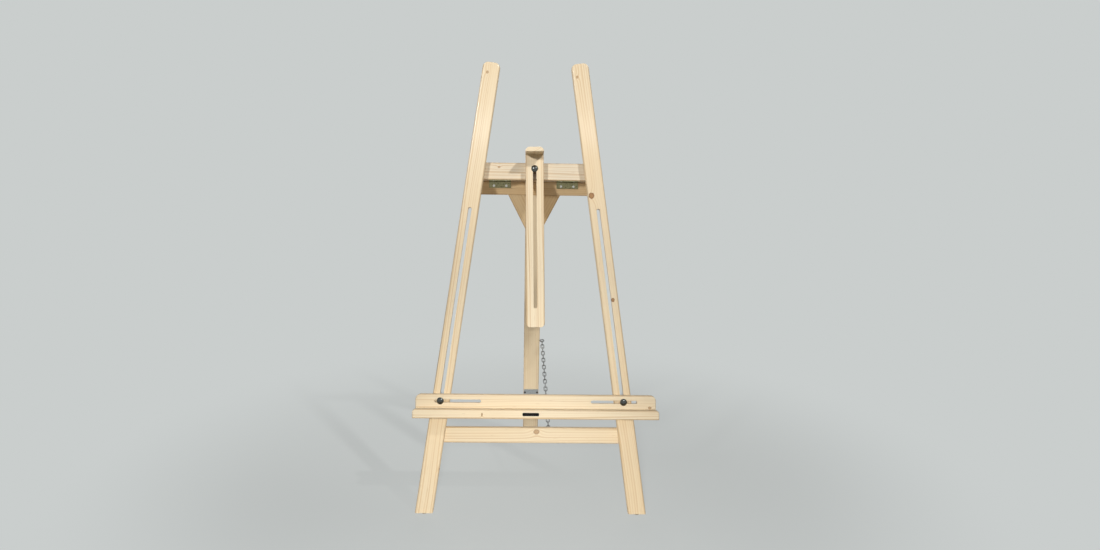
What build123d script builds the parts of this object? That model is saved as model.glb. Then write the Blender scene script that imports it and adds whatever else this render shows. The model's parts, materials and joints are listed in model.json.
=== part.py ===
from build123d import *

import os
from math import cos, radians, sin, tan

# Folding pine easel: two splayed front legs, a hinged rear leg, a slotted mast and a sliding tray.
# Millimetres, +Z up, the front faces -Y. The origin is on the floor under the middle of the easel.

# How the easel stands
lean_angle = 14.0
splay_angle = 7.75
open_angle = 34.5

# Front legs
leg_width = 48.0
leg_thickness = 22.0
leg_length = 1246.0
leg_foot_x = 288.5
leg_top_radius = 15.0
leg_edge_radius = 5.0
leg_slot_width = 10.0
leg_slot_length = 536.5
edge_radius = 2.5
small_edge_radius = 1.2
foot_pad_radius = 9.0
foot_pad_height = 3.0

# Crossbars behind the legs, measured up along the frame
crossbar_thickness = 22.0
upper_bar_height = 48.0
upper_bar_bottom = 911.5
lower_bar_height = 43.0
lower_bar_bottom = 189.5
bar_end_inset = 6.0

# Rear support
rear_width = 48.0
rear_thickness = 20.0
head_rail_height = 42.0
head_rail_length = 316.0
head_rail_chamfer = 6.0
fold_gap = 1.0
gusset_half_width = 72.5
gusset_height = 108.0

# Butt hinges
hinge_length = 60.0
hinge_leaf = 19.0
hinge_leaf_thickness = 1.6
hinge_barrel_radius = 3.0
hinge_pin_radius = 1.5
hinge_knuckles = 5
hinge_screw_span = 35.0
hinge_screw_reach = 12.5
left_hinge_inset = 62.5
right_hinge_inset = 66.0
knuckle_gap = 0.3
leaf_back_off = 0.5

# Mast
mast_width = 50.0
mast_thickness = 20.0
mast_turn = 1.0
mast_below_bolt = 435.5
mast_above_bolt = 39.8
mast_foot_radius = 11.0
mast_slot_width = 10.0
mast_slot_below_bolt = 383.8
mast_bolt_height = 941.2
hook_height = 12.5
hook_reach = 45.0
hook_corner_radius = 11.5
hook_screw_spacing = 24.0

# Tray
tray_shift = 10.8
tray_bolt_height = 306.4
tray_board_length = 648.0
tray_board_thickness = 20.0
tray_above_bolt = 18.6
tray_below_bolt = 43.4
tray_corner_radius = 15.0
tray_slot_spacing = 421.0
tray_slot_length = 125.0
tray_slot_width = 8.6
lip_length = 657.0
lip_height = 25.0
lip_depth = 34.0
lip_corner_radius = 9.0
lip_screw_spacing = 190.0
lip_screw_count = 4
plate_length = 44.0
plate_height = 8.5
plate_thickness = 1.2
plate_shift = -14.0

# Carriage bolts, washers and wing nuts
bolt_radius = 4.0
bolt_head_radius = 9.5
bolt_head_height = 4.6
bolt_neck_width = 8.0
bolt_neck_height = 4.5
bolt_tail = 5.0
bolt_tip_chamfer = 0.8
washer_radius = 12.0
washer_thickness = 1.6
nut_hub_radius = 8.0
nut_hub_top_radius = 6.6
nut_hub_height = 10.0
wing_reach = 20.0
wing_lobe_radius = 7.0
wing_lobe_height = 12.0
wing_root_radius = 3.0
wing_thickness = 3.2
wing_edge_radius = 1.2
mast_stop_gap = 0.6
tray_stop_gap = 1.7

# Wood screws
screw_radius = 1.8
screw_head_radius = 3.6
screw_dome = 0.9
screw_recess_width = 0.9
screw_recess_depth = 1.2
hinge_screw_length = 14.0
bar_screw_length = 36.0
bar_screw_spacing = 22.0
rail_screw_length = 17.0
rail_screw_spacing = 22.0
hook_screw_length = 40.0
lip_screw_length = 40.0
lip_screw_sink = 1.5

# Steel strap on the rear leg
strap_width = 46.0
strap_height = 36.0
strap_thickness = 1.5
strap_from_hinge = 739.5
strap_screw_span = 39.0
strap_screw_inset = 12.0
strap_screw_length = 12.0

# Check chain and its screw eyes
eye_ring_radius = 5.5
eye_wire_radius = 1.5
eye_standoff = 8.0
eye_depth = 14.0
leg_eye_from_hinge = 554.0
frame_eye_x = 48.0
link_count = 25
link_wire_radius = 1.2
link_bend_radius = 4.4
link_gap = 0.4
lower_run_links = 6
bend_links = 2

# Clearances
shaft_clearance = 0.08
hole_clearance = 0.05
washer_clearance = 0.25

# Angles of the rear support against the floor, and the frame's own directions
rear_lean = open_angle - lean_angle
frame_up = Vector(0, sin(radians(lean_angle)), cos(radians(lean_angle)))
frame_back = Vector(0, cos(radians(lean_angle)), -sin(radians(lean_angle)))
rear_up = Vector(0, -sin(radians(rear_lean)), cos(radians(rear_lean)))
rear_back = Vector(0, cos(radians(rear_lean)), sin(radians(rear_lean)))
across = Vector(1, 0, 0)

# The hinge axis lies under the rear edge of the upper crossbar
hinge_up = upper_bar_bottom - hinge_barrel_radius
hinge_back = leg_thickness + crossbar_thickness + fold_gap - hinge_barrel_radius
rear_front = hinge_barrel_radius
rear_rear = rear_front + rear_thickness

# The floor outline runs from the front edge of the front feet to the back edge of the rear foot
hinge_rise = (frame_up * hinge_up + frame_back * hinge_back).Z
hinge_run = (frame_up * hinge_up + frame_back * hinge_back).Y
rear_drop = (hinge_rise + (rear_back * rear_rear).Z - foot_pad_height) / cos(radians(rear_lean))
depth_front = foot_pad_height * tan(radians(lean_angle))
depth_back = hinge_run + (rear_back * rear_rear).Y + rear_drop * sin(radians(rear_lean))
front_y = -(depth_front + depth_back) / 2
mid_x = -tray_shift
frame_origin = Vector(mid_x, front_y, 0)
hinge_origin = frame_origin + frame_up * hinge_up + frame_back * hinge_back

# Working planes: x across and y up along the wood, with z out of its front face
frame_plane = Plane(frame_origin, x_dir=across, z_dir=-frame_back)
rear_plane = Plane(hinge_origin, x_dir=across, z_dir=-rear_back)
# Side planes: x towards the back and y up along the wood, with z across to the right
rear_side = Plane(hinge_origin, x_dir=rear_back, z_dir=across)
hinge_side = Plane(hinge_origin, x_dir=frame_back, z_dir=across)
floor_plane = Plane.XY.offset(foot_pad_height)


def on(base, x=0.0, y=0.0, z=0.0, turn=0.0):
    """A plane parallel to base, moved along its own axes and turned about its normal."""
    return Plane(base.location * Location((x, y, z), (0, 0, turn)))


def behind(base, x=0.0, y=0.0, z=0.0):
    """A plane at a point of base that looks out of its back instead of its front."""
    return Plane(on(base, x, y, z).origin, x_dir=-base.x_dir, z_dir=-base.z_dir)


def leg_x(height):
    """Distance of a leg's centre line from the easel's middle at a height along the frame."""
    return leg_foot_x - height * tan(radians(splay_angle))


def save(piece, name):
    """Label a finished piece and write it to its own file."""
    piece.part.label = name
    export_step(piece.part, f"parts/{name}.step")


def places(planes):
    """The locations of a list of planes."""
    return [plane.location for plane in planes]


def pilot(radius):
    """The radius of the hole that a screw of this radius sits in."""
    return radius + hole_clearance


os.makedirs("parts", exist_ok=True)

upper_bar_middle = upper_bar_bottom + upper_bar_height / 2
lower_bar_middle = lower_bar_bottom + lower_bar_height / 2
bar_back = leg_thickness + crossbar_thickness
mast_front = leg_thickness - mast_thickness
mast_plane = on(frame_plane, 0, mast_bolt_height, -mast_front, mast_turn)
tray_plane = on(frame_plane, tray_shift, tray_bolt_height)
sides = {"left": -1, "right": 1}
# A leg slot starts just under its tray bolt, measured along the leg
leg_slot_start = tray_bolt_height / cos(radians(splay_angle)) - bolt_radius - tray_stop_gap

# Screw places, each a plane whose z points out of the head
bar_screw_planes = [
    behind(frame_plane, side * leg_x(middle), middle + step, -bar_back)
    for side in sides.values()
    for middle in (upper_bar_middle, lower_bar_middle)
    for step in (-bar_screw_spacing / 2, bar_screw_spacing / 2)
]
hinge_xs = {
    "left": left_hinge_inset - head_rail_length / 2,
    "right": head_rail_length / 2 - right_hinge_inset,
}
hinge_screw_xs = [
    x + step for x in hinge_xs.values() for step in (-hinge_screw_span / 2, hinge_screw_span / 2)
]
underside = Plane(
    frame_origin + frame_up * (upper_bar_bottom - hinge_leaf_thickness) + frame_back * hinge_back,
    x_dir=across,
    z_dir=-frame_up,
)
frame_leaf_screw_planes = [on(underside, x, hinge_screw_reach) for x in hinge_screw_xs]
leg_leaf_screw_planes = [
    on(rear_plane, x, -hinge_screw_reach, hinge_leaf_thickness - rear_front) for x in hinge_screw_xs
]
rail_middle = -head_rail_height / 2
rail_screw_planes = [
    behind(rear_plane, step, rail_middle, -rear_rear)
    for step in (-rail_screw_spacing / 2, rail_screw_spacing / 2)
]
strap_top = -strap_from_hinge
strap_screw_planes = [
    on(rear_plane, x, y, strap_thickness - rear_front)
    for x in (-strap_screw_span / 2, strap_screw_span / 2)
    for y in (strap_top - strap_screw_inset, strap_top - strap_height + strap_screw_inset)
]
mast_up = mast_plane.y_dir
hook_top = Plane(
    on(mast_plane, 0, mast_above_bolt + hook_height, -mast_thickness / 2).origin,
    x_dir=mast_plane.x_dir,
    z_dir=mast_up,
)
hook_screw_planes = [on(hook_top, x) for x in (-hook_screw_spacing / 2, hook_screw_spacing / 2)]
lip_middle = -tray_below_bolt + lip_height / 2
lip_screw_xs = [(i - (lip_screw_count - 1) / 2) * lip_screw_spacing for i in range(lip_screw_count)]
lip_hole_planes = [behind(tray_plane, x, lip_middle) for x in lip_screw_xs]
lip_screw_planes = [plane.offset(-lip_screw_sink) for plane in lip_hole_planes]

# Screw eyes: the frame's stands out of the lower crossbar, the leg's out of the rear leg's right side
frame_eye_centre = on(frame_plane, frame_eye_x, lower_bar_middle, -bar_back - eye_standoff).origin
leg_eye_centre = on(
    rear_plane, rear_width / 2 + eye_standoff, -leg_eye_from_hinge, -(rear_front + rear_rear) / 2
).origin
chain_start = frame_eye_centre + frame_back * eye_ring_radius
chain_pull = (leg_eye_centre - chain_start).normalized()
chain_end = leg_eye_centre - chain_pull * eye_ring_radius
chain_span = (chain_end - chain_start).length
chain_side = (across - chain_pull * across.dot(chain_pull)).normalized()

# A link's length follows from the span between the eyes
link_overlap = 2 * link_wire_radius + link_gap
eye_overlap = link_wire_radius + eye_wire_radius + link_gap
link_reach = (chain_span + (link_count - 1) * link_overlap + 2 * eye_overlap) / link_count
link_pitch = link_reach - link_overlap
link_straight = link_reach - 2 * link_bend_radius


def make_leg(side):
    """A front leg: slotted board, round top, cut level at the floor."""
    spare = leg_width
    plane = on(frame_plane, side * leg_foot_x, 0, 0, side * splay_angle)
    with BuildPart() as leg:
        with BuildSketch(plane) as outline:
            with Locations((0, (leg_length - spare) / 2)):
                Rectangle(leg_width, leg_length + spare)
            fillet(outline.vertices().group_by(Axis.Y)[-1], leg_top_radius)
            with Locations((0, leg_slot_start + leg_slot_length / 2)):
                SlotOverall(leg_slot_length, leg_slot_width, rotation=90, mode=Mode.SUBTRACT)
        extrude(amount=-leg_thickness)
        broad = leg.faces().sort_by(Axis(plane.origin, plane.z_dir))
        fillet(broad[0].outer_wire().edges() + broad[-1].outer_wire().edges(), leg_edge_radius)
        split(bisect_by=floor_plane, keep=Keep.TOP)
        with Locations(*places(bar_screw_planes)):
            Hole(pilot(screw_radius), bar_screw_length + 1)
    return leg


def make_bar(bottom, height):
    """A crossbar that lies behind both legs, with its ends inside their outer edges."""
    length = 2 * (leg_x(bottom + height) + leg_width / 2 - bar_end_inset)
    with BuildPart() as bar:
        with BuildSketch(on(frame_plane, 0, bottom + height / 2, -leg_thickness)):
            Rectangle(length, height)
        extrude(amount=-crossbar_thickness)
        fillet(bar.edges().filter_by(Axis.X), edge_radius)
        with Locations(*places(bar_screw_planes)):
            CounterSinkHole(pilot(screw_radius), pilot(screw_head_radius), bar_screw_length + 1, 90)
    return bar


def make_screws(planes, length):
    """Raised countersunk screws with a cross recess, one at each plane."""
    taper = screw_head_radius - screw_radius
    with BuildPart() as screw:
        with BuildSketch(Plane.XZ):
            with BuildLine():
                dome = ThreePointArc(
                    (0, screw_dome),
                    (screw_head_radius * 0.55, screw_dome * 0.68),
                    (screw_head_radius, 0),
                )
                Polyline(dome @ 1, (screw_radius, -taper), (screw_radius, -length), (0, -length), dome @ 0)
            make_face()
        revolve(axis=Axis.Z)
        with Locations((0, 0, screw_dome - screw_recess_depth / 2)):
            Box(screw_head_radius, screw_recess_width, screw_recess_depth, mode=Mode.SUBTRACT)
            Box(screw_recess_width, screw_head_radius, screw_recess_depth, mode=Mode.SUBTRACT)
    with BuildPart() as screws:
        with Locations(*places(planes)):
            add(screw.part)
    return screws


def make_leaf(side_plane, x_middle, from_frame):
    """A hinge leaf with its own knuckles. The frame's leaf lies forward, the rear support's hangs down."""
    pitch = hinge_length / hinge_knuckles
    own = [i for i in range(hinge_knuckles) if (i % 2 == 0) == from_frame]
    bore = hinge_pin_radius + (hole_clearance if from_frame else shaft_clearance)
    r = hinge_barrel_radius
    start = r + leaf_back_off
    middle = (start + hinge_leaf) / 2
    seat = r - hinge_leaf_thickness / 2
    with BuildPart() as leaf:
        with BuildSketch(side_plane.offset(x_middle - hinge_length / 2)):
            if from_frame:
                with Locations((-middle, seat)):
                    Rectangle(hinge_leaf - start, hinge_leaf_thickness)
            else:
                with Locations((seat, -middle)):
                    Rectangle(hinge_leaf_thickness, hinge_leaf - start)
        extrude(amount=hinge_length)
        for i in own:
            with BuildSketch(side_plane.offset(x_middle - hinge_length / 2 + i * pitch + knuckle_gap / 2)):
                Circle(r)
                if from_frame:
                    with Locations((-start / 2, seat)):
                        Rectangle(start, hinge_leaf_thickness)
                else:
                    with Locations((seat, -start / 2)):
                        Rectangle(hinge_leaf_thickness, start)
                Circle(bore, mode=Mode.SUBTRACT)
            extrude(amount=pitch - knuckle_gap)
        planes = frame_leaf_screw_planes if from_frame else leg_leaf_screw_planes
        with Locations(*places(planes)):
            CounterSinkHole(pilot(screw_radius), pilot(screw_head_radius), hinge_leaf_thickness * 2, 90)
    return leaf


def make_pin(x_middle):
    """A hinge pin as long as its barrel."""
    with BuildPart() as pin:
        with BuildSketch(rear_side.offset(x_middle - hinge_length / 2)):
            Circle(hinge_pin_radius)
        extrude(amount=hinge_length)
    return pin


def make_bolt(plane, grip):
    """A carriage bolt: domed head on the plane, square neck and shank behind it."""
    length = grip + washer_thickness + nut_hub_height + bolt_tail
    with BuildPart() as bolt:
        with BuildSketch(Plane.XZ):
            with BuildLine():
                dome = ThreePointArc(
                    (0, bolt_head_height),
                    (bolt_head_radius * 0.66, bolt_head_height * 0.7),
                    (bolt_head_radius, 0),
                )
                Polyline(
                    dome @ 1,
                    (bolt_radius, 0),
                    (bolt_radius, bolt_tip_chamfer - length),
                    (bolt_radius - bolt_tip_chamfer, -length),
                    (0, -length),
                    dome @ 0,
                )
            make_face()
        revolve(axis=Axis.Z)
        with BuildSketch():
            Rectangle(bolt_neck_width, bolt_neck_width)
        extrude(amount=-bolt_neck_height)
    with BuildPart() as placed:
        with Locations(plane.location):
            add(bolt.part)
    return placed


def make_washer(plane):
    """A flat washer that lies on the plane."""
    with BuildPart() as washer:
        with BuildSketch(plane):
            Circle(washer_radius)
            Circle(bolt_radius + washer_clearance, mode=Mode.SUBTRACT)
        extrude(amount=washer_thickness)
    return washer


def make_wing_nut(plane):
    """A wing nut that stands on the plane, with its two wings along the plane's y."""
    with BuildPart() as wing:
        with BuildSketch(Plane.YZ):
            with Locations((wing_reach - wing_lobe_radius, wing_lobe_height)):
                Circle(wing_lobe_radius)
            with Locations((nut_hub_top_radius / 2, wing_root_radius + wing_thickness / 2)):
                Circle(wing_root_radius)
            make_hull()
        extrude(amount=wing_thickness / 2, both=True)
        fillet(wing.edges(), wing_edge_radius)
    with BuildPart() as nut:
        with BuildSketch():
            Circle(nut_hub_radius)
        with BuildSketch(Plane.XY.offset(nut_hub_height)):
            Circle(nut_hub_top_radius)
        loft()
        add(wing.part)
        add(wing.part, rotation=(0, 0, 180))
        with BuildSketch():
            Circle(bolt_radius + shaft_clearance)
        extrude(amount=wing_lobe_height + wing_lobe_radius, mode=Mode.SUBTRACT)
    with BuildPart() as placed:
        with Locations(plane.location):
            add(nut.part)
    return placed


def make_eye(ring_plane, shank_dir):
    """A screw eye: a ring in its plane, with a shank that goes into the wood."""
    start = ring_plane.origin + shank_dir * eye_ring_radius
    length = eye_standoff - eye_ring_radius + eye_depth
    with BuildPart() as eye:
        with BuildSketch(Plane(start, z_dir=shank_dir)):
            Circle(eye_wire_radius)
        extrude(amount=length)
        with Locations(ring_plane.location):
            Torus(eye_ring_radius, eye_wire_radius)
    return eye


def make_links(first, count):
    """A run of chain links, turned a quarter from one to the next."""
    half = link_straight / 2
    with BuildPart() as link:
        with BuildSketch(Plane.YZ.offset(-half)):
            with Locations((link_bend_radius, 0), (-link_bend_radius, 0)):
                Circle(link_wire_radius)
        extrude(amount=link_straight)
        for side in sides.values():
            with BuildSketch(Plane.YZ.offset(side * half)):
                with Locations((link_bend_radius, 0)):
                    Circle(link_wire_radius)
            revolve(axis=Axis((side * half, 0, 0), (0, 0, -side)), revolution_arc=180)
    spots = []
    for i in range(first, first + count):
        centre = chain_start + chain_pull * (link_reach / 2 - eye_overlap + i * link_pitch)
        normal = chain_side if i % 2 == 0 else chain_pull.cross(chain_side)
        spots.append(Plane(centre, x_dir=chain_pull, z_dir=normal).location)
    with BuildPart() as run:
        with Locations(*spots):
            add(link.part)
    return run


def make_front_pad(side):
    """A round foot pad under a front leg."""
    middle = leg_thickness / 2
    height = (foot_pad_height + middle * sin(radians(lean_angle))) / cos(radians(lean_angle))
    spot = on(frame_plane, side * leg_x(height), height, -middle).origin
    with BuildPart() as pad:
        with BuildSketch(Plane((spot.X, spot.Y, 0))):
            Circle(foot_pad_radius)
        extrude(amount=foot_pad_height)
        chamfer(pad.faces().sort_by(Axis.Z)[0].edges(), foot_pad_height / 4)
    return pad


# Front frame
for name, side in sides.items():
    save(make_leg(side), f"{name}_leg")
    save(make_front_pad(side), f"{name}_foot_pad")

upper_crossbar = make_bar(upper_bar_bottom, upper_bar_height)
with upper_crossbar:
    with Locations(on(frame_plane, 0, mast_bolt_height, -leg_thickness).location):
        Hole(bolt_radius + shaft_clearance, crossbar_thickness)
    with Locations(*places(frame_leaf_screw_planes)):
        CounterSinkHole(pilot(screw_radius), pilot(screw_head_radius), hinge_screw_length + 1, 90)
save(upper_crossbar, "upper_crossbar")

lower_crossbar = make_bar(lower_bar_bottom, lower_bar_height)
with lower_crossbar:
    with Locations(behind(frame_plane, frame_eye_x, lower_bar_middle, -bar_back).location):
        Hole(pilot(eye_wire_radius), eye_depth + 1)
save(lower_crossbar, "lower_crossbar")

save(make_screws(bar_screw_planes, bar_screw_length), "crossbar_screws")
save(make_screws(frame_leaf_screw_planes, hinge_screw_length), "hinge_frame_screws")
frame_eye_plane = Plane(frame_eye_centre, x_dir=across, z_dir=frame_up)
save(make_eye(frame_eye_plane, -frame_back), "frame_chain_eye")

for name, x in hinge_xs.items():
    save(make_leaf(hinge_side, x, True), f"{name}_hinge_frame_leaf")
    save(make_leaf(rear_side, x, False), f"{name}_hinge_leg_leaf")
    save(make_pin(x), f"{name}_hinge_pin")

# Rear support: the leg is halved into the head rail, with a corner block on each side below the rail
with BuildPart() as rear_leg:
    with BuildSketch(rear_side.offset(-rear_width / 2)):
        with BuildLine():
            half = (rear_front + rear_rear) / 2
            foot = -rear_drop - rear_width
            Polyline(
                (half, 0),
                (rear_rear - head_rail_chamfer, 0),
                (rear_rear, -head_rail_chamfer),
                (rear_rear, foot),
                (rear_front, foot),
                (rear_front, -head_rail_height),
                (half, -head_rail_height),
                close=True,
            )
        make_face()
    extrude(amount=rear_width)
    long_edges = rear_leg.edges().filter_by(Axis(hinge_origin, rear_up)).group_by(SortBy.LENGTH)[-1]
    fillet(long_edges.sort_by(Axis(hinge_origin, -rear_back))[-2:], small_edge_radius)
    split(bisect_by=floor_plane, keep=Keep.TOP)
    with Locations(*places(rail_screw_planes)):
        CounterSinkHole(pilot(screw_radius), pilot(screw_head_radius), rail_screw_length + 1, 90)
    with Locations(*places(strap_screw_planes)):
        CounterSinkHole(pilot(screw_radius), pilot(screw_head_radius), strap_screw_length + 1, 90)
    leg_side = Plane(leg_eye_centre - across * eye_standoff, x_dir=rear_up, z_dir=across)
    with Locations(leg_side.location):
        Hole(pilot(eye_wire_radius), eye_depth + 1)
save(rear_leg, "rear_leg")

with BuildPart() as head_rail:
    with BuildSketch(rear_side.offset(-head_rail_length / 2)):
        with BuildLine():
            Polyline(
                (rear_front, 0),
                (rear_rear - head_rail_chamfer, 0),
                (rear_rear, -head_rail_chamfer),
                (rear_rear, -head_rail_height),
                (rear_front, -head_rail_height),
                close=True,
            )
        make_face()
    extrude(amount=head_rail_length)
    fillet(head_rail.edges().filter_by(Axis.X), small_edge_radius)
    with BuildSketch(on(rear_plane, 0, rail_middle, -rear_rear)):
        Rectangle(rear_width, head_rail_height)
    extrude(amount=rear_thickness / 2, mode=Mode.SUBTRACT)
    with Locations(*places(rail_screw_planes)):
        Hole(pilot(screw_radius), rail_screw_length + 1)
    with Locations(*places(leg_leaf_screw_planes)):
        CounterSinkHole(pilot(screw_radius), pilot(screw_head_radius), hinge_screw_length + 1, 90)
save(head_rail, "head_rail")

for name, side in sides.items():
    with BuildPart() as corner_block:
        with BuildSketch(on(rear_plane, 0, -head_rail_height, -rear_front)):
            inner = side * rear_width / 2
            with BuildLine():
                Polyline((inner, 0), (side * gusset_half_width, 0), (inner, -gusset_height), close=True)
            make_face()
        extrude(amount=-rear_thickness)
    save(corner_block, f"{name}_corner_block")

with BuildPart() as strap_plate:
    with BuildSketch(on(rear_plane, 0, strap_top - strap_height / 2, -rear_front)):
        RectangleRounded(strap_width, strap_height, edge_radius)
    extrude(amount=strap_thickness)
    with Locations(*places(strap_screw_planes)):
        CounterSinkHole(pilot(screw_radius), pilot(screw_head_radius), strap_thickness * 2, 90)
save(strap_plate, "strap_plate")
save(make_screws(strap_screw_planes, strap_screw_length), "strap_screws")
save(make_screws(rail_screw_planes, rail_screw_length), "head_rail_screws")
save(make_screws(leg_leaf_screw_planes, hinge_screw_length), "hinge_leg_screws")
leg_eye_plane = Plane(leg_eye_centre, x_dir=across, z_dir=chain_pull.cross(across))
save(make_eye(leg_eye_plane, -across), "leg_chain_eye")

with BuildPart() as rear_foot_pad:
    half_drop = (rear_back * ((rear_front + rear_rear) / 2)).Z
    sole_drop = (hinge_rise + half_drop - foot_pad_height) / cos(radians(rear_lean))
    sole = on(rear_plane, 0, -sole_drop, -(rear_front + rear_rear) / 2).origin
    with BuildSketch(Plane((sole.X, sole.Y, 0))):
        Circle(foot_pad_radius)
    extrude(amount=foot_pad_height)
    chamfer(rear_foot_pad.faces().sort_by(Axis.Z)[0].edges(), foot_pad_height / 4)
save(rear_foot_pad, "rear_foot_pad")

# Mast with its hook, clamped to the upper crossbar by one bolt
mast_end = mast_above_bolt + mast_below_bolt
bolt_corner = bolt_neck_width / 2
slot_end = mast_slot_width / 2
slot_above_bolt = slot_end + bolt_corner - (slot_end**2 - bolt_corner**2) ** 0.5 + mast_stop_gap
mast_slot_length = slot_above_bolt + mast_slot_below_bolt
with BuildPart() as mast_board:
    with BuildSketch(mast_plane) as outline:
        with Locations((0, mast_above_bolt - mast_end / 2)):
            Rectangle(mast_width, mast_end)
        fillet(outline.vertices().group_by(Axis.Y)[0], mast_foot_radius)
        with Locations((0, (slot_above_bolt - mast_slot_below_bolt) / 2)):
            SlotOverall(mast_slot_length, mast_slot_width, rotation=90, mode=Mode.SUBTRACT)
    extrude(amount=-mast_thickness)
    broad = mast_board.faces().sort_by(Axis(mast_plane.origin, mast_plane.z_dir))
    rims = [broad[i].outer_wire().edges().sort_by(Axis(mast_plane.origin, mast_up))[:-1] for i in (0, -1)]
    fillet(rims[0] + rims[1], small_edge_radius)
    with Locations(*places(hook_screw_planes)):
        Hole(pilot(screw_radius), hook_screw_length + 1)
save(mast_board, "mast_board")

with BuildPart() as mast_hook:
    with BuildSketch(on(mast_plane, 0, mast_above_bolt + hook_height / 2, -mast_thickness)) as outline:
        Rectangle(mast_width, hook_height)
        fillet(outline.vertices().group_by(Axis.Y)[-1], hook_corner_radius)
    extrude(amount=mast_thickness + hook_reach)
    front = mast_hook.faces().sort_by(Axis(mast_plane.origin, mast_plane.z_dir))[-1]
    fillet(front.edges(), small_edge_radius)
    with Locations(*places(hook_screw_planes)):
        CounterSinkHole(pilot(screw_radius), pilot(screw_head_radius), hook_screw_length + 1, 90)
save(mast_hook, "mast_hook")
save(make_screws(hook_screw_planes, hook_screw_length), "hook_screws")

mast_grip = mast_thickness + crossbar_thickness
mast_nut_seat = behind(mast_plane, 0, 0, -mast_grip)
save(make_bolt(mast_plane, mast_grip), "mast_bolt")
save(make_washer(mast_nut_seat), "mast_washer")
mast_nut_plane = on(mast_nut_seat, z=washer_thickness, turn=90)
save(make_wing_nut(mast_nut_plane), "mast_wing_nut")

# Tray: slotted board and lip, clamped to the slotted legs by one bolt at each side
with BuildPart() as tray_board:
    with BuildSketch(tray_plane) as outline:
        with Locations((0, (tray_above_bolt - tray_below_bolt) / 2)):
            Rectangle(tray_board_length, tray_above_bolt + tray_below_bolt)
        fillet(outline.vertices().group_by(Axis.Y)[-1], tray_corner_radius)
        with GridLocations(tray_slot_spacing, 0, 2, 1):
            SlotOverall(tray_slot_length, tray_slot_width, mode=Mode.SUBTRACT)
    extrude(amount=tray_board_thickness)
    front = tray_board.faces().sort_by(Axis(tray_plane.origin, tray_plane.z_dir))[-1]
    top_edges = front.outer_wire().edges().sort_by(Axis(tray_plane.origin, tray_plane.y_dir))[1:]
    fillet(top_edges, edge_radius)
    with Locations(*places(lip_screw_planes)):
        CounterSinkHole(pilot(screw_radius), pilot(screw_head_radius), lip_screw_length + 1, 90)
    with Locations(*places(lip_hole_planes)):
        Hole(pilot(screw_head_radius), lip_screw_sink)
save(tray_board, "tray_board")

with BuildPart() as tray_lip:
    with BuildSketch(on(tray_plane, 0, lip_middle, tray_board_thickness)) as outline:
        Rectangle(lip_length, lip_height)
        fillet(outline.vertices().group_by(Axis.Y)[-1], lip_corner_radius)
    extrude(amount=lip_depth)
    front = tray_lip.faces().sort_by(Axis(tray_plane.origin, tray_plane.z_dir))[-1]
    fillet(front.edges(), edge_radius)
    with Locations(*places(lip_screw_planes)):
        Hole(pilot(screw_radius), lip_screw_length + 1)
save(tray_lip, "tray_lip")
save(make_screws(lip_screw_planes, lip_screw_length), "lip_screws")

with BuildPart() as blank_plate:
    with BuildSketch(on(tray_plane, plate_shift, lip_middle, tray_board_thickness + lip_depth)):
        RectangleRounded(plate_length, plate_height, plate_height / 3)
    extrude(amount=plate_thickness)
save(blank_plate, "blank_plate")

clamp_grip = tray_board_thickness + leg_thickness
for name, side in sides.items():
    clamp_plane = on(frame_plane, side * leg_x(tray_bolt_height), tray_bolt_height, tray_board_thickness)
    nut_seat = behind(clamp_plane, 0, 0, -clamp_grip)
    save(make_bolt(clamp_plane, clamp_grip), f"{name}_tray_bolt")
    save(make_washer(nut_seat), f"{name}_tray_washer")
    save(make_wing_nut(on(nut_seat, z=washer_thickness, turn=side * splay_angle)), f"{name}_tray_wing_nut")

# Check chain in four runs, from the frame's eye up to the rear leg's
runs = {
    "chain_lower_run": lower_run_links,
    "chain_lower_bend": bend_links,
    "chain_upper_bend": bend_links,
    "chain_upper_run": link_count - lower_run_links - 2 * bend_links,
}
first_link = 0
for name, count in runs.items():
    save(make_links(first_link, count), name)
    first_link += count
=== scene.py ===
import json
import logging
import math
from dataclasses import dataclass, field
from enum import Enum
from typing import Any, Union

import bmesh
import bpy
from mathutils import Matrix, Vector


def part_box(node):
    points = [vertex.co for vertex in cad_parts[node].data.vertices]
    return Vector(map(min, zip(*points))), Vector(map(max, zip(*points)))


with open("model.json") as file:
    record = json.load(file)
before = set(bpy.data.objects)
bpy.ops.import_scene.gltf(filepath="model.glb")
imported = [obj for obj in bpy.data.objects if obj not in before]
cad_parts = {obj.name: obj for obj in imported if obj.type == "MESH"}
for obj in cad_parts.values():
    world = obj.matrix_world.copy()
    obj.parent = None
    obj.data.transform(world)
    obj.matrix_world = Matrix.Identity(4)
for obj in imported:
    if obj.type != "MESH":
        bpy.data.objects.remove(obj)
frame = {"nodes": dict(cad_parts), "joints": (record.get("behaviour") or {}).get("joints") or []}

LOG = logging.getLogger("easel")
MILLIMETRE = 0.001

Colour = tuple[float, float, float]
Waves = tuple[float, float]
Range = tuple[float, float]
Number = Union[int, float, "Value"]


def joint_axis(name: str) -> Vector:
    """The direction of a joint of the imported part.

    Args:
        name: The joint's name in the record.

    Returns:
        Its unit vector at rest.
    """
    joint = next(row for row in frame["joints"] if row["name"] == name)
    return Vector(joint["axis"]).normalized()


def opaque(colour: Colour) -> tuple[float, float, float, float]:
    """A linear colour with full alpha, as the sockets take it."""
    return (*colour, 1.0)


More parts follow.
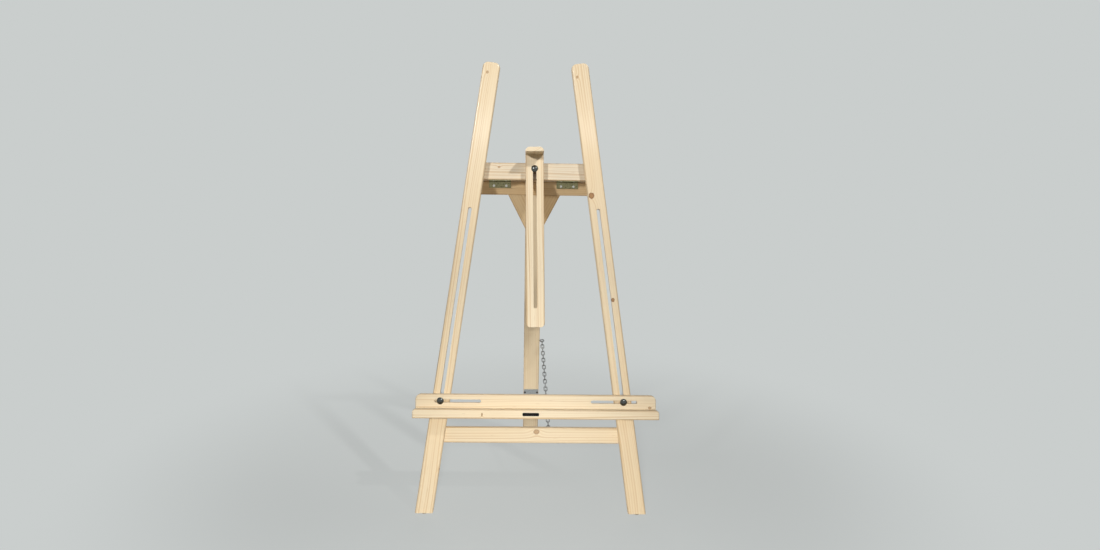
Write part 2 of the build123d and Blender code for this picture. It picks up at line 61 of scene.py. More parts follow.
class Value:
    """A number in a shader: a socket that takes part in Python arithmetic."""

    def __init__(self, shader: "Shader", socket: bpy.types.NodeSocket) -> None:
        """Keep the shader that owns the socket, and the socket."""
        self.shader = shader
        self.socket = socket

    def math(self, operation: str, *others: Number) -> "Value":
        """Put this value, and others, through a Math node.

        Args:
            operation: The Math node's operation.
            others: The values of its further inputs.

        Returns:
            The node's result.
        """
        inputs = dict(enumerate((self, *others)))
        return self.shader.node("ShaderNodeMath", {"operation": operation}, inputs)

    def flipped(self, operation: str, first: Number) -> "Value":
        """The same as math, with this value as the second input."""
        return self.shader.node("ShaderNodeMath", {"operation": operation}, {0: first, 1: self})

    def __add__(self, other: Number) -> "Value":
        """Self plus other."""
        return self.math("ADD", other)

    def __radd__(self, other: Number) -> "Value":
        """Other plus self."""
        return self.flipped("ADD", other)

    def __sub__(self, other: Number) -> "Value":
        """Self minus other."""
        return self.math("SUBTRACT", other)

    def __rsub__(self, other: Number) -> "Value":
        """Other minus self."""
        return self.flipped("SUBTRACT", other)

    def __mul__(self, other: Number) -> "Value":
        """Self times other."""
        return self.math("MULTIPLY", other)

    def __rmul__(self, other: Number) -> "Value":
        """Other times self."""
        return self.flipped("MULTIPLY", other)

    def __truediv__(self, other: Number) -> "Value":
        """Self over other."""
        return self.math("DIVIDE", other)

    def __rtruediv__(self, other: Number) -> "Value":
        """Other over self."""
        return self.flipped("DIVIDE", other)

    def __pow__(self, other: Number) -> "Value":
        """Self to the power of other."""
        return self.math("POWER", other)

    def root(self) -> "Value":
        """The square root."""
        return self.math("SQRT")

    def fraction(self) -> "Value":
        """The part after the decimal point."""
        return self.math("FRACT")

    def step(self, low: float, high: float) -> "Value":
        """A smooth step from 0 at low to 1 at high, or the other way round.

        Args:
            low: Where the step is 0.
            high: Where the step is 1.

        Returns:
            The stepped value.
        """
        rising = low < high
        inputs = {
            "Value": self,
            "From Min": min(low, high),
            "From Max": max(low, high),
            "To Min": 0.0 if rising else 1.0,
            "To Max": 1.0 if rising else 0.0,
        }
        return self.shader.node("ShaderNodeMapRange", {"interpolation_type": "SMOOTHSTEP"}, inputs)


class Shader:
    """A material, or a world, and the nodes that make it."""

    def __init__(self, owner: bpy.types.Material | bpy.types.World) -> None:
        """Empty the owner's node tree."""
        self.owner = owner
        self.owner.use_nodes = True
        self.tree = self.owner.node_tree
        self.tree.nodes.clear()

    @classmethod
    def material(cls, name: str) -> "Shader":
        """A new, empty material of that name."""
        return cls(bpy.data.materials.new(name))

    def node(
        self,
        kind: str,
        settings: dict[str, Any] | None = None,
        inputs: dict[int | str, Any] | None = None,
        output: int | str = 0,
    ) -> Value:
        """Add a node.

        Args:
            kind: The node's type.
            settings: Its properties, which are set first.
            inputs: Values, or links, of its sockets.
            output: Which of its outputs is wanted.

        Returns:
            That output.
        """
        made = self.tree.nodes.new(kind)
        for key, value in (settings or {}).items():
            setattr(made, key, value)
        for key, value in (inputs or {}).items():
            if isinstance(value, Value):
                self.tree.links.new(value.socket, made.inputs[key])
            else:
                made.inputs[key].default_value = value
        return Value(self, made.outputs[output] if len(made.outputs) else None)

    def position(self) -> Value:
        """The point's place in the part's own frame."""
        return self.node("ShaderNodeTexCoord", output="Object")

    def backdrop_seen(self) -> Value:
        """1 where the backdrop is looked at, in a mirror or through glass too, and 0 where it lights."""
        rays = ("Camera", "Glossy", "Transmission")
        seen = [self.node("ShaderNodeLightPath", output=f"Is {ray} Ray") for ray in rays]
        return seen[0].math("MAXIMUM", seen[1]).math("MAXIMUM", seen[2])

    def along(self, point: Value, direction: Vector, start: float) -> Value:
        """How far a point is along a direction, from a start.

        Args:
            point: The point.
            direction: A unit vector.
            start: The distance that counts as zero.

        Returns:
            The distance in metres.
        """
        settings = {"operation": "DOT_PRODUCT"}
        inputs = {0: point, 1: tuple(direction)}
        return self.node("ShaderNodeVectorMath", settings, inputs, "Value") - start

    def vector(self, x: Number, y: Number, z: Number) -> Value:
        """Three values as a vector."""
        return self.node("ShaderNodeCombineXYZ", {}, {"X": x, "Y": y, "Z": z})

    def scaled(self, point: Value, factor: float) -> Value:
        """A point's place, times a factor."""
        return self.node("ShaderNodeVectorMath", {"operation": "SCALE"}, {0: point, "Scale": factor})

    def noise(self, where: Value, detail: float = 2.0, rough: float = 0.5) -> Value:
        """Noise from about 0 to 1 at scale 1.

        Args:
            where: The vector that it is read at.
            detail: The number of finer layers.
            rough: The weight of the finer layers.

        Returns:
            The noise.
        """
        inputs = {"Vector": where, "Scale": 1.0, "Detail": detail, "Roughness": rough}
        return self.node("ShaderNodeTexNoise", {}, inputs, "Fac")

    def mix(self, factor: Number, first: Colour | Value, second: Colour | Value) -> Value:
        """A colour between two others.

        Args:
            factor: 0 for the first, 1 for the second.
            first: A colour.
            second: A colour.

        Returns:
            The mixed colour.
        """
        ends = [end if isinstance(end, Value) else opaque(end) for end in (first, second)]
        settings = {"data_type": "RGBA"}
        return self.node("ShaderNodeMix", settings, {0: factor, 6: ends[0], 7: ends[1]}, 2)

    def bump(self, height: Value, strength: float, distance: float) -> Value:
        """A surface direction from a height.

        Args:
            height: The height, from 0 to 1.
            strength: How much of it shows.
            distance: The height of 1, in metres.

        Returns:
            The normal.
        """
        inputs = {"Height": height, "Strength": strength, "Distance": distance}
        return self.node("ShaderNodeBump", {}, inputs, "Normal")

    def surface(self, **sockets: Any) -> bpy.types.Material:
        """Close the material with a principled surface.

        Args:
            sockets: The surface's inputs, with underscores for spaces.

        Returns:
            The finished material.
        """
        inputs = {key.replace("_", " "): value for key, value in sockets.items()}
        shaded = self.node("ShaderNodeBsdfPrincipled", {}, inputs, "BSDF")
        self.node("ShaderNodeOutputMaterial", {}, {"Surface": shaded})
        return self.owner


@dataclass(frozen=True)
class Knot:
    """A knot, placed by metres across the easel from its middle and up along the frame."""

    across: float
    up: float
    radius: float
    darkness: float = 1.0
    drawn_out: float = 1.2


@dataclass(frozen=True)
class Pine:
    """Planed pale pine with a clear satin finish."""

    early: Colour = (0.880, 0.760, 0.555)
    late: Colour = (0.640, 0.430, 0.220)
    warm: Colour = (0.820, 0.640, 0.400)
    # A dark brown for resin flecks, and for the long edges, where it is partly wear and partly painted shade.
    burnish_and_edge_shade: Colour = (0.470, 0.300, 0.145)
    knot_rim: Colour = (0.215, 0.095, 0.035)
    knot_heart: Colour = (0.500, 0.285, 0.125)
    ring_spacing: float = 0.0042
    contrast: float = 0.80
    roughness: float = 0.50
    sheen: float = 0.25
    lacquer: float = 0.4
    lacquer_roughness: float = 0.17
    arris: float = 4.5 * MILLIMETRE
    # Painted shade inside a slot: its walls are darkened below a thin rim at each face, where little light
    # reaches.
    arris_wear_and_shade: Range = (0.35, 0.95)
    slot_shade_share: float = 0.90
    slot_shade_inset: float = 3.0 * MILLIMETRE
    slot_shade: Colour = (0.270, 0.130, 0.040)
    seed_spread: float = 7.31
    sway_reach: float = 20.0 * MILLIMETRE
    sway_waves: Waves = (6.0, 2.1)
    drift_waves: Waves = (70.0, 0.5)
    drift_rings: float = 2.6
    ripple_rings: float = 0.45
    ripple_waves: Waves = (70.0, 7.0)
    ring_waves: Waves = (0.71, 1.1)
    ring_rise: Range = (0.12, 0.90)
    ring_fall: Range = (1.0, 0.92)
    ring_strength: Range = (0.20, 1.0)
    ring_choice: Range = (0.30, 0.68)
    patch_middle: float = 0.40
    patch_waves: Waves = (16.0, 3.1)
    fleck_waves: Waves = (420.0, 34.0)
    fibre_waves: Waves = (1100.0, 22.0)
    fleck_range: Range = (0.70, 0.80)
    fleck_share: float = 0.30
    fibre_range: Range = (0.60, 0.85)
    fibre_share: float = 0.20
    ring_roughness: float = 0.06
    fibre_roughness: float = 0.10
    fibre_relief: float = 0.6
    relief: float = 0.12 * MILLIMETRE
    relief_strength: float = 0.25
    knot_waves: float = 170.0
    knot_wobble: float = 0.5
    knot_lines: float = 3.2
    knot_push: float = 0.9
    knot_spread: float = 0.16
    knot_depth: float = 9.0

    def material(self, board: "Board") -> bpy.types.Material:
        """The pine of one board, with its rings, fibres, knots, and long edges darkened partly by wear and
        partly by painted shade.

        Args:
            board: The board that is dressed.

        Returns:
            Its material.
        """
        shader = Shader.material(f"pine_{board.node}")
        point = shader.position()
        place = tuple(
            shader.along(point, axis, board.middle(axis)) for axis in (board.across, board.length, board.out)
        )
        across, length, depth = place
        seed = board.seed * self.seed_spread
        bend, stain, heart = self.knots(shader, board, across, length)

        fine, drawn = self.sway_waves
        sway = shader.noise(shader.vector(across * fine + seed, length * drawn, depth * fine), 1.0) - 0.5
        pith_across = across + sway * self.sway_reach - board.pith[0] + length * board.taper
        pith_depth = depth - board.pith[1]
        radius = (pith_across * pith_across + pith_depth * pith_depth).root() + bend
        fine, drawn = self.drift_waves
        drift = shader.noise(shader.vector(radius * fine, seed, length * drawn), 1.0)
        ripple = self.streaks(shader, place, self.ripple_waves, seed, 2.0)
        phase = radius / self.ring_spacing + drift * self.drift_rings + ripple * self.ripple_rings
        saw = phase.fraction()
        fine, drawn = self.ring_waves
        own = shader.noise(shader.vector((phase - saw) * fine, length * drawn + seed, seed), 0.0)
        faint, strong = self.ring_strength
        ring = saw.step(*self.ring_rise) * saw.step(*self.ring_fall)
        ring = ring * (own.step(*self.ring_choice) * (strong - faint) + faint)

        fibre = self.streaks(shader, place, self.fibre_waves, 0.0, 2.0, 0.6)
        fleck = self.streaks(shader, place, self.fleck_waves, seed, 1.0)
        patch = self.streaks(shader, place, self.patch_waves, seed, 2.0)
        early, late = (
            tuple(part * share for part, share in zip(wood, board.tone)) for wood in (self.early, self.late)
        )
        colour = shader.mix(ring * (self.contrast * board.figure), early, late)
        colour = shader.mix((patch - self.patch_middle) * board.warmth + board.tan, colour, self.warm)
        colour = shader.mix(fibre.step(*self.fibre_range) * self.fibre_share, colour, self.late)
        colour = shader.mix(fleck.step(*self.fleck_range) * self.fleck_share, colour, self.burnish_and_edge_shade)
        # Darker long edges: partly worn edges, partly painted shade of their rounding.
        colour = shader.mix(self.arrises(board, across, depth, ripple), colour, self.burnish_and_edge_shade)
        # Painted shade on a slot's walls: a dark brown that stands in for the shade deep in the recess.
        if board.slot:
            half = board.half(board.out)
            inside = across.math("ABSOLUTE").step(board.slot / 2 + MILLIMETRE, board.slot / 2)
            deep = depth.math("ABSOLUTE").step(half, half - self.slot_shade_inset)
            colour = shader.mix(inside * deep * self.slot_shade_share, colour, self.slot_shade)
        if board.knots:
            colour = shader.mix(heart, colour, self.knot_heart)
            colour = shader.mix(stain, colour, self.knot_rim)
        relief = fibre * self.fibre_relief + ring * (1.0 - self.fibre_relief)
        rough = fibre * self.fibre_roughness + (self.roughness - self.fibre_roughness / 2)
        return shader.surface(
            Base_Color=colour,
            Roughness=ring * self.ring_roughness + rough,
            Normal=shader.bump(relief, self.relief_strength, self.relief),
            Specular_IOR_Level=self.sheen,
            Coat_Weight=self.lacquer,
            Coat_Roughness=self.lacquer_roughness,
        )

    def streaks(
        self,
        shader: Shader,
        place: tuple[Value, ...],
        waves: Waves,
        start: float,
        detail: float,
        rough: float = 0.5,
    ) -> Value:
        """Noise that is drawn out along a board.

        Args:
            shader: The board's material.
            place: The point's place across, along and through the board.
            waves: Waves per metre across the board, and along it.
            start: Where the noise starts along the board.
            detail: The number of finer layers.
            rough: The weight of the finer layers.

        Returns:
            The noise.
        """
        across, length, depth = place
        fine, drawn = waves
        return shader.noise(shader.vector(across * fine, length * drawn + start, depth * fine), detail, rough)

    def arrises(self, board: "Board", across: Value, depth: Value, ripple: Value) -> Value:
        """How much of the darker edge colour shows along a board's long edges: partly wear, partly painted
        shade of their rounding.

        Args:
            board: The board.
            across: The point's place across the board.
            depth: The point's place through the board.
            ripple: Noise that makes the wear and the painted shade uneven.

        Returns:
            The share of the darker edge colour.
        """
        near = [
            place.math("ABSOLUTE").step(half - self.arris, half)
            for place, half in ((across, board.half(board.across)), (depth, board.half(board.out)))
        ]
        least, most = self.arris_wear_and_shade
        return near[0] * near[1] * (ripple * (most - least) + least)

    def knots(self, shader: Shader, board: "Board", across: Value, length: Value) -> tuple[Number, ...]:
        """The rings' bend round the board's knots, and the knots' own colour masks.

        Args:
            shader: The board's material.
            board: The board.
            across: The point's place across the board.
            length: The point's place along the board.

        Returns:
            The bend in metres, the rim's mask and the heart's mask.
        """
        bend: Number = 0.0
        stain: Number = 0.0
        heart: Number = 0.0
        for knot in board.knots:
            spot = board.spot(knot)
            side = (across - spot[0]) / knot.radius
            rise = (length - spot[1]) / (knot.radius * knot.drawn_out)
            turn = (across * self.knot_waves, length * self.knot_waves, knot.up * self.knot_depth)
            wobble = shader.noise(shader.vector(*turn), 1.0) - 0.5
            away = (side * side + rise * rise).root() + wobble * self.knot_wobble
            bulge = (away * away * -self.knot_spread).math("EXPONENT")
            bend = bulge * (knot.radius * self.knot_push) + bend
            lines = (away * self.knot_lines).fraction().step(0.25, 0.9) * 0.55
            rim = away.step(1.25, 0.95) * (lines + away.step(0.55, 0.95) * 0.45 + 0.15)
            stain = rim * knot.darkness + stain
            heart = away.step(1.15, 0.85) * knot.darkness + heart
        return bend, stain, heart


@dataclass(frozen=True)
class Metal:
    """A plated steel fitting."""

    colour: Colour
    tarnish: Colour
    roughness: float
    spots: float = 260.0
    patchy: Range = (0.45, 0.75)
    unevenness: float = 0.16

    def material(self, name: str) -> bpy.types.Material:
        """The metal under a name.

        Args:
            name: The material's name.

        Returns:
            The material.
        """
        shader = Shader.material(name)
        place = shader.position()
        cloud = shader.noise(shader.scaled(place, self.spots), 3.0, 0.6)
        colour = shader.mix(cloud.step(*self.patchy), self.colour, self.tarnish)
        rough = cloud * self.unevenness + (self.roughness - self.unevenness / 2)
        return shader.surface(Base_Color=colour, Metallic=1.0, Roughness=rough)


@dataclass(frozen=True)
class Plastic:
    """A moulded plastic with a fine grain and scuffed patches."""

    colour: Colour
    scuffed: Colour
    roughness: float
    sheen: float = 0.5
    grain: float = 1600.0
    grain_per_scuff: float = 12.0
    grain_relief: float = 0.06 * MILLIMETRE
    grain_strength: float = 0.3
    patchy: Range = (0.40, 0.75)
    unevenness: float = 0.2

    def material(self, name: str) -> bpy.types.Material:
        """The plastic under a name.

        Args:
            name: The material's name.

        Returns:
            The material.
        """
        shader = Shader.material(name)
        place = shader.position()
        fine = shader.noise(shader.scaled(place, self.grain), 2.0)
        cloud = shader.noise(shader.scaled(place, self.grain / self.grain_per_scuff), 2.0)
        return shader.surface(
            Base_Color=shader.mix(cloud.step(*self.patchy), self.colour, self.scuffed),
            Roughness=cloud * self.unevenness + (self.roughness - self.unevenness / 2),
            Normal=shader.bump(fine, self.grain_strength, self.grain_relief),
            Specular_IOR_Level=self.sheen,
        )


class Finish(Enum):
    """The finishes of the fittings."""

    BOLT = Metal((0.13, 0.135, 0.13), (0.08, 0.08, 0.075), 0.16)
    ZINC = Metal((0.62, 0.63, 0.64), (0.48, 0.49, 0.50), 0.36)
    CHAIN = Metal((0.30, 0.30, 0.30), (0.20, 0.20, 0.20), 0.34)
    HINGE = Metal((0.34, 0.31, 0.17), (0.05, 0.046, 0.03), 0.30, 300.0)
    BRIGHT_SCREW = Metal((0.78, 0.77, 0.73), (0.62, 0.60, 0.54), 0.28)
    DARK_SCREW = Metal((0.16, 0.15, 0.14), (0.10, 0.10, 0.10), 0.42)
    PAD = Plastic((0.035, 0.033, 0.032), (0.060, 0.057, 0.054), 0.7)
    PLATE = Plastic((0.008, 0.008, 0.008), (0.018, 0.017, 0.016), 0.50, 0.15)

    def dress(self, *nodes: str) -> None:
        """Give this finish to CAD nodes.

        Args:
            nodes: The nodes' names.
        """
        name = f"{self.name.lower()}_finish"
        material = bpy.data.materials.get(name) or self.value.material(name)
        for node in nodes:
            put_on(node, material)


def put_on(node: str, material: bpy.types.Material) -> None:
    """Make a material the only one of a CAD node.

    Args:
        node: The node's name.
        material: The material.
    """
    mesh = frame["nodes"][node].data
    mesh.materials.clear()
    mesh.materials.append(material)
    LOG.info("%s wears %s", node, material.name)


@dataclass(frozen=True)
class Board:
    """A pine board with the direction of its length, the way out of its face, and its own grain."""

    node: str
    length: Vector
    out: Vector
    seed: float
    pith: tuple[float, float] = (0.052, 0.064)
    taper: float = 0.006
    warmth: float = 1.2
    figure: float = 1.0
    tan: float = 0.0
    # Scales the pine's colours: a board's own tone, and on some boards painted shade.
    tone: Colour = (1.0, 1.0, 1.0)
    slot: float = 0.0
    knots: tuple[Knot, ...] = ()

    @property
    def across(self) -> Vector:
        """The direction across the board."""
        return self.length.cross(self.out).normalized()

    def reach(self, axis: Vector) -> tuple[float, float]:
        """The board's lowest and highest place along a direction."""
        places = [corner.co.dot(axis) for corner in frame["nodes"][self.node].data.vertices]
        return min(places), max(places)

    def middle(self, axis: Vector) -> float:
        """The middle of the board's reach along a direction."""
        return sum(self.reach(axis)) / 2

    def half(self, axis: Vector) -> float:
        """Half of the board's reach along a direction."""
        low, high = self.reach(axis)
        return (high - low) / 2

    def spot(self, knot: Knot) -> tuple[float, float]:
        """A knot's place across and along the board.

        Args:
            knot: The knot.

        Returns:
            The two distances from the board's middle.
        """
        place = Posture.point(knot.across, knot.up)
        return tuple(place.dot(axis) - self.middle(axis) for axis in (self.across, self.length))

    def dress(self, finish: Pine) -> None:
        """Give the board its pine."""
        put_on(self.node, finish.material(self))


class Posture:
    """The directions of the easel as it stands, read from its joints."""

    ACROSS = Vector((1.0, 0.0, 0.0))
    UP = joint_axis("tray_slide")
    FORWARD = joint_axis("mast_swivel")
    MAST_UP = joint_axis("mast_slide")
    MIDDLE_X = -10.8 * MILLIMETRE
    REAR_LEAN = math.radians(20.5)
    SPLAY = math.radians(7.75)
    REAR_UP = Vector((0.0, -math.sin(REAR_LEAN), math.cos(REAR_LEAN)))
    REAR_FORWARD = Vector((0.0, -math.cos(REAR_LEAN), -math.sin(REAR_LEAN)))

    @classmethod
    def foot(cls) -> Vector:
        """The point on the floor under the middle of the legs' front faces."""
        lean = math.atan2(cls.UP.y, cls.UP.z)
        low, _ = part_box("left_leg")
        return Vector((cls.MIDDLE_X, low.y - low.z * math.tan(lean), 0.0))

    @classmethod
    def point(cls, across: float, up: float) -> Vector:
        """A point on the plane of the legs' front faces.

        Args:
            across: Metres to the right of the easel's middle.
            up: Metres up along the frame.

        Returns:
            The point.
        """
        return cls.foot() + cls.ACROSS * across + cls.UP * up

    @classmethod
    def leg(cls, side: int) -> Vector:
        """The direction up a leg, with -1 for the left one and 1 for the right."""
        return cls.UP * math.cos(cls.SPLAY) - cls.ACROSS * (side * math.sin(cls.SPLAY))


@dataclass
class FrontFrame:
    """The two legs, the crossbars behind them and the fittings that stay with them."""

    pine: Pine = field(default_factory=Pine)
    left_knots: tuple[Knot, ...] = (
        Knot(-0.133, 1.206, 0.0032, 0.55),
        Knot(-0.245, 0.120, 0.0035, 0.45),
    )
    right_knots: tuple[Knot, ...] = (
        Knot(0.157, 0.868, 0.0068, 1.0),
        Knot(0.218, 0.583, 0.0042, 0.95),
        Knot(0.114, 1.196, 0.0032, 0.55),
    )
    upper_knots: tuple[Knot, ...] = (Knot(-0.098, 0.947, 0.0030, 0.5),)
    lower_knots: tuple[Knot, ...] = (Knot(0.0135, 0.220, 0.0062, 0.55),)

    def boards(self) -> list[Board]:
        """The frame's four boards."""
        out = Posture.FORWARD
        return [
            Board("left_leg", Posture.leg(-1), out, 1.0, tan=0.30, knots=self.left_knots),
            Board(
                "right_leg", Posture.leg(1), out, 2.0, (-0.058, 0.070),
                tan=0.30, tone=(0.97, 0.96, 0.95), knots=self.right_knots,
            ),
            # Painted shade: the upper crossbar gets a darker, greyer tone, as it sits behind the legs in less
            # light.
            Board(
                "upper_crossbar", Posture.ACROSS, out, 3.0, (0.045, 0.07),
                tone=(0.86, 0.88, 0.94), knots=self.upper_knots,
            ),
            Board("lower_crossbar", Posture.ACROSS, out, 4.0, (-0.05, 0.06), knots=self.lower_knots),
        ]

    def dress(self) -> None:
        """Dress the boards and the fittings."""
        for board in self.boards():
            board.dress(self.pine)
        Finish.PAD.dress("left_foot_pad", "right_foot_pad")
        Finish.BRIGHT_SCREW.dress("crossbar_screws", "hinge_frame_screws")
        Finish.CHAIN.dress("frame_chain_eye")
        for side in ("left", "right"):
            Finish.HINGE.dress(f"{side}_hinge_frame_leaf", f"{side}_hinge_pin")


@dataclass
class RearSupport:
    """The rear leg with its head rail, corner blocks and fittings."""

    pine: Pine = field(default_factory=Pine)
    rail_knots: tuple[Knot, ...] = (Knot(-0.079, 0.874, 0.0070, 0.8),)
    block_slope: float = 0.45

    def boards(self) -> list[Board]:
        """The support's four boards."""
        out = Posture.REAR_FORWARD
        left, right = (
            (Posture.REAR_UP + Posture.ACROSS * (side * self.block_slope)).normalized() for side in (-1, 1)
        )
        return [
            Board("rear_leg", Posture.REAR_UP, out, 5.0, (0.06, 0.05), warmth=0.8, figure=0.7, tan=0.15),
            Board(
                # Painted shade: the head rail and the corner blocks get warmer, darker tans and tones, the
                # right block darkest, as if in the mast's shadow.
                "head_rail", Posture.ACROSS, out, 6.0, (0.05, 0.05),
                tan=0.35, tone=(0.96, 0.80, 0.58), knots=self.rail_knots,
            ),
            Board("left_corner_block", left, out, 7.0, (0.055, 0.06), tan=0.40, tone=(0.95, 0.84, 0.66)),
            Board("right_corner_block", right, out, 8.0, (-0.055, 0.06), tan=0.30, tone=(0.92, 0.74, 0.48)),
        ]

    def dress(self) -> None:
        """Dress the boards and the fittings."""
        for board in self.boards():
            board.dress(self.pine)
        Finish.PAD.dress("rear_foot_pad")
        Finish.BRIGHT_SCREW.dress("hinge_leg_screws", "head_rail_screws")
        Finish.DARK_SCREW.dress("strap_screws")
        Finish.ZINC.dress("strap_plate")
        Finish.CHAIN.dress("leg_chain_eye")
        Finish.HINGE.dress("left_hinge_leg_leaf", "right_hinge_leg_leaf")


@dataclass
class Mast:
    """The slotted mast, its hook and its clamp."""

    pine: Pine = field(default_factory=Pine)
    slot: float = 10.0 * MILLIMETRE

    def dress(self) -> None:
        """Dress the board, the hook and the clamp."""
        out = Posture.FORWARD
        Board("mast_board", Posture.MAST_UP, out, 9.0, (0.06, 0.075), slot=self.slot).dress(self.pine)
        Board("mast_hook", out, Posture.MAST_UP, 10.0, (0.02, 0.045)).dress(self.pine)
        Finish.BRIGHT_SCREW.dress("hook_screws")
        Finish.BOLT.dress("mast_bolt")
        Finish.ZINC.dress("mast_washer", "mast_wing_nut")


@dataclass
class Tray:
    """The slotted tray board, its lip and its two clamps."""

    pine: Pine = field(default_factory=Pine)
    lip_knots: tuple[Knot, ...] = (Knot(-0.1325, 0.2746, 0.0042, 0.8, 0.45),)
    board_knots: tuple[Knot, ...] = (Knot(0.318, 0.292, 0.0035, 0.6),)

    def dress(self) -> None:
        """Dress the boards, the blank plate and the clamps."""
        out = Posture.FORWARD
        tray = Board("tray_board", Posture.ACROSS, out, 11.0, (0.06, 0.06), 0.004, knots=self.board_knots)
        lip = Board("tray_lip", Posture.ACROSS, out, 12.0, (-0.05, 0.06), 0.004, knots=self.lip_knots)
        for board in (tray, lip):
            board.dress(self.pine)
        Finish.PLATE.dress("blank_plate")
        Finish.BRIGHT_SCREW.dress("lip_screws")
        for side in ("left", "right"):
            Finish.BOLT.dress(f"{side}_tray_bolt")
            Finish.ZINC.dress(f"{side}_tray_washer", f"{side}_tray_wing_nut")


@dataclass
class CheckChain:
    """The chain that stops the rear leg."""

    runs: tuple[str, ...] = ("chain_lower_run", "chain_lower_bend", "chain_upper_bend", "chain_upper_run")

    def dress(self) -> None:
        """Dress the runs of links."""
        Finish.CHAIN.dress(*self.runs)


class LampKind(Enum):
    """The studio's lamps: a soft panel, or a spot with a soft edge."""

    PANEL = "AREA"
    SPOT = "SPOT"


@dataclass(frozen=True)
class Lamp:
    """A lamp: where it hangs and aims, its size in metres, a spot's beam in degrees, and its watts."""

    name: str
    kind: LampKind
    place: tuple[float, float, float]
    aim: tuple[float, float, float]
    size: tuple[float, float]
    power: float
    beam: float = 0.0
    mirrored: bool = True

    def hang(self) -> None:
        """Hang the lamp so that it faces its aim."""
        data = bpy.data.lights.new(self.name, self.kind.value)
        data.energy = self.power
        if self.kind is LampKind.PANEL:
            data.shape = "RECTANGLE"
            data.size, data.size_y = self.size
        else:
            data.shadow_soft_size = self.size[0] / 2
            data.spot_size = math.radians(self.beam)
            data.spot_blend = 1.0
        hung = bpy.data.objects.new(self.name, data)
        hung.location = self.place
        hung.visible_glossy = self.mirrored
        way = Vector(self.aim) - Vector(self.place)
        hung.rotation_euler = way.to_track_quat("-Z", "Y").to_euler()
        bpy.context.scene.collection.objects.link(hung)


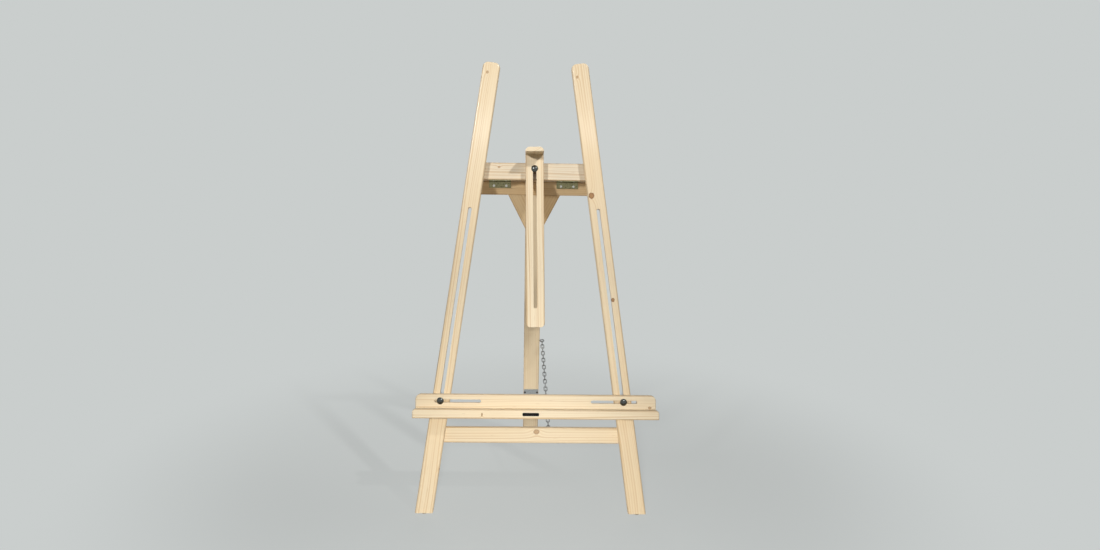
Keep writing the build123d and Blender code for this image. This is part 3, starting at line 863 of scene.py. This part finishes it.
@dataclass
class Studio:
    """The floor, the backdrop's colour, the lamps and the camera."""

    backdrop: Colour = (0.590, 0.617, 0.610)
    floor_bounce: Colour = (0.870, 0.830, 0.760)
    floor_size: float = 40.0
    shadow_reach: tuple[float, float] = (0.4, 1.4)
    shadow_share: float = 0.28
    ambient: float = 0.10
    ambient_colour: Colour = (0.950, 0.820, 0.640)
    lamps: tuple[Lamp, ...] = (
        Lamp("key", LampKind.SPOT, (3.10, -3.57, 5.50), (0.0, -0.06, 1.00), (0.30, 0.30), 1000.0, 13.5),
        Lamp("left", LampKind.SPOT, (-2.09, -2.95, 2.80), (0.0, -0.06, 1.00), (0.40, 0.40), 390.0, 20.0),
        Lamp(
            "front", LampKind.SPOT, (-0.10, -2.55, 1.14), (0.0, -0.25, -0.12), (0.20, 0.20),
            205.0, 38.0, mirrored=False,
        ),
        Lamp("left_gloss", LampKind.PANEL, (-0.26, -2.07, 1.97), (-0.16, -0.1, 1.0), (0.10, 0.08), 1.1),
        Lamp("right_gloss", LampKind.PANEL, (0.28, -2.07, 1.97), (0.13, -0.1, 1.0), (0.10, 0.08), 1.1),
        Lamp("rear", LampKind.PANEL, (0.0, 3.2, 1.3), (0.0, 0.0, 0.6), (3.0, 2.0), 36.0, mirrored=False),
    )
    image_width: float = 1100.0
    focal_pixels: float = 926.14
    sensor: float = 36.0
    eye: tuple[float, float, float] = (-0.01986, -2.31986, 1.13767)
    pitch: float = 0.202182
    yaw: float = 0.026276
    roll: float = 0.017093

    def set_floor(self) -> None:
        """Lay a plain floor that fades into the backdrop away from the easel."""
        mesh = bpy.data.meshes.new("floor")
        form = bmesh.new()
        bmesh.ops.create_grid(form, x_segments=1, y_segments=1, size=self.floor_size / 2)
        form.to_mesh(mesh)
        form.free()
        floor = bpy.data.objects.new("floor", mesh)
        bpy.context.scene.collection.objects.link(floor)
        mesh.materials.append(self.floor_material())
        LOG.info("floor laid")

    def floor_material(self) -> bpy.types.Material:
        """The floor: matt near the easel, plain backdrop colour away from it."""
        shader = Shader.material("floor")
        settings = {"operation": "LENGTH"}
        away = shader.node("ShaderNodeVectorMath", settings, {0: shader.position()}, "Value")
        near = away.step(self.shadow_reach[1], self.shadow_reach[0]) * self.shadow_share
        seen = shader.backdrop_seen()
        paint = shader.mix(seen, self.floor_bounce, self.backdrop)
        matt = shader.node("ShaderNodeBsdfDiffuse", {}, {"Color": paint})
        glow = shader.node("ShaderNodeEmission", {}, {"Color": opaque(self.backdrop), "Strength": 1.0})
        mixed = shader.node("ShaderNodeMixShader", {}, {0: seen * (1.0 - near), 1: matt, 2: glow})
        shader.node("ShaderNodeOutputMaterial", {}, {"Surface": mixed})
        return shader.owner

    def set_world(self) -> None:
        """Light the easel softly from all round, with the backdrop's colour behind it."""
        shader = Shader(bpy.data.worlds.new("studio"))
        sky = {"Color": opaque(self.ambient_colour), "Strength": self.ambient}
        soft = shader.node("ShaderNodeBackground", {}, sky)
        plain = shader.node("ShaderNodeBackground", {}, {"Color": opaque(self.backdrop), "Strength": 1.0})
        mixed = shader.node("ShaderNodeMixShader", {}, {0: shader.backdrop_seen(), 1: soft, 2: plain})
        shader.node("ShaderNodeOutputWorld", {}, {"Surface": mixed})
        bpy.context.scene.world = shader.owner

    def set_camera(self) -> None:
        """Place the camera that matches the photograph's angle and framing."""
        forward = Vector((
            math.sin(self.yaw) * math.cos(self.pitch),
            math.cos(self.yaw) * math.cos(self.pitch),
            -math.sin(self.pitch),
        ))
        level = Vector((math.cos(self.yaw), -math.sin(self.yaw), 0.0))
        upright = level.cross(forward)
        right = level * math.cos(self.roll) + upright * math.sin(self.roll)
        up = upright * math.cos(self.roll) - level * math.sin(self.roll)
        data = bpy.data.cameras.new("camera")
        data.sensor_fit = "HORIZONTAL"
        data.sensor_width = self.sensor
        data.lens = self.focal_pixels / self.image_width * self.sensor
        camera = bpy.data.objects.new("camera", data)
        turn = Matrix((right, up, -forward)).transposed()
        camera.matrix_world = Matrix.Translation(Posture.foot() + Vector(self.eye)) @ turn.to_4x4()
        bpy.context.scene.collection.objects.link(camera)
        bpy.context.scene.camera = camera

    def build(self) -> None:
        """Set up the floor, the light and the camera."""
        self.set_floor()
        self.set_world()
        for lamp in self.lamps:
            lamp.hang()
        self.set_camera()
        bpy.context.scene.view_settings.view_transform = "Standard"


def main() -> None:
    """Dress the easel and light it."""
    logging.basicConfig(level=logging.INFO, format="%(name)s: %(message)s")
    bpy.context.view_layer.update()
    for assembly in (FrontFrame(), RearSupport(), Mast(), Tray(), CheckChain()):
        assembly.dress()
    Studio().build()


if __name__ == "__main__":
    main()
